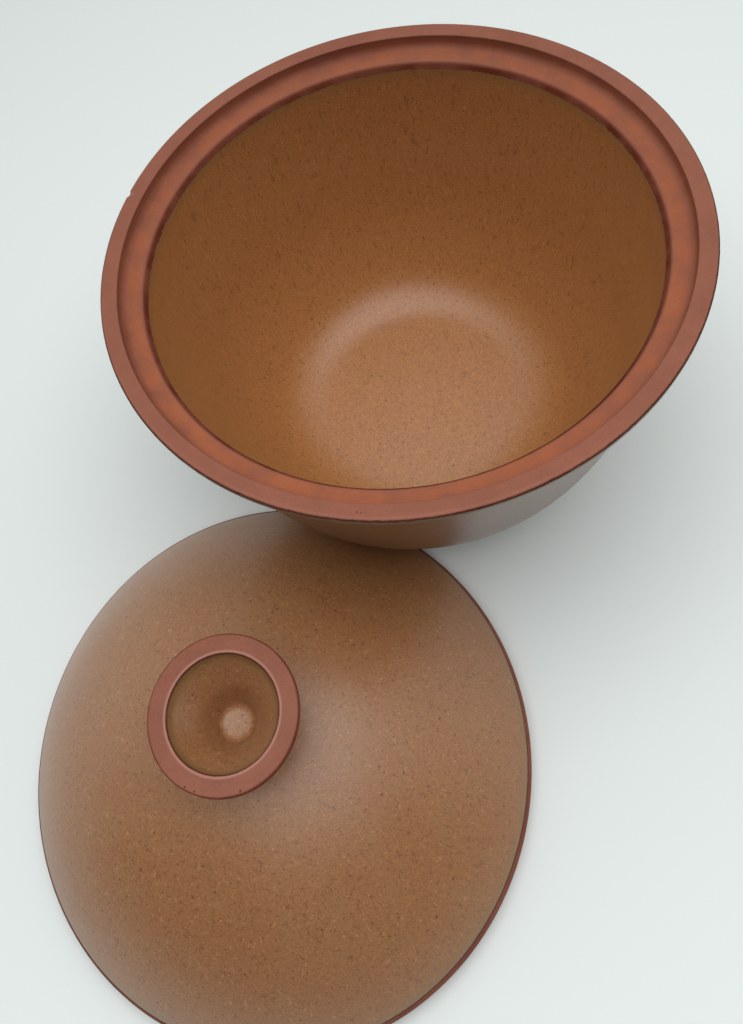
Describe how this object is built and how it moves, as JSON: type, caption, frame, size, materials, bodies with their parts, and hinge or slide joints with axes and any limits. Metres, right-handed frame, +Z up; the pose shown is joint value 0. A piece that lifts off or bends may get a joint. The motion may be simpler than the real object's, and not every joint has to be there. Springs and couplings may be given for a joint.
{
  "type": "clay casserole",
  "caption": "Deep tapering clay casserole with a stepped seat in its rim and a domed lid with a hollow flared knob, the lid lying beside the pot.",
  "frame": {"origin": "middle of the pot's foot, on the surface that the pot and the lid stand on", "axes": "+Z up along the pot's turning axis; the lid lies towards -Y, rim down, with its own axis parallel to +Z"},
  "size_m": [0.2456, 0.4248, 0.1498],
  "materials": {
    "pot_glaze": "satin speckled brown glaze, bare red clay on the rim, its seat and the foot",
    "lid_glaze": "satin speckled brown glaze, bare red clay on the knob's ring and the lid's rim"
  },
  "bodies": {
    "root": {"pot": "pot_glaze", "lid": "lid_glaze"}
  },
  "joints": []
}
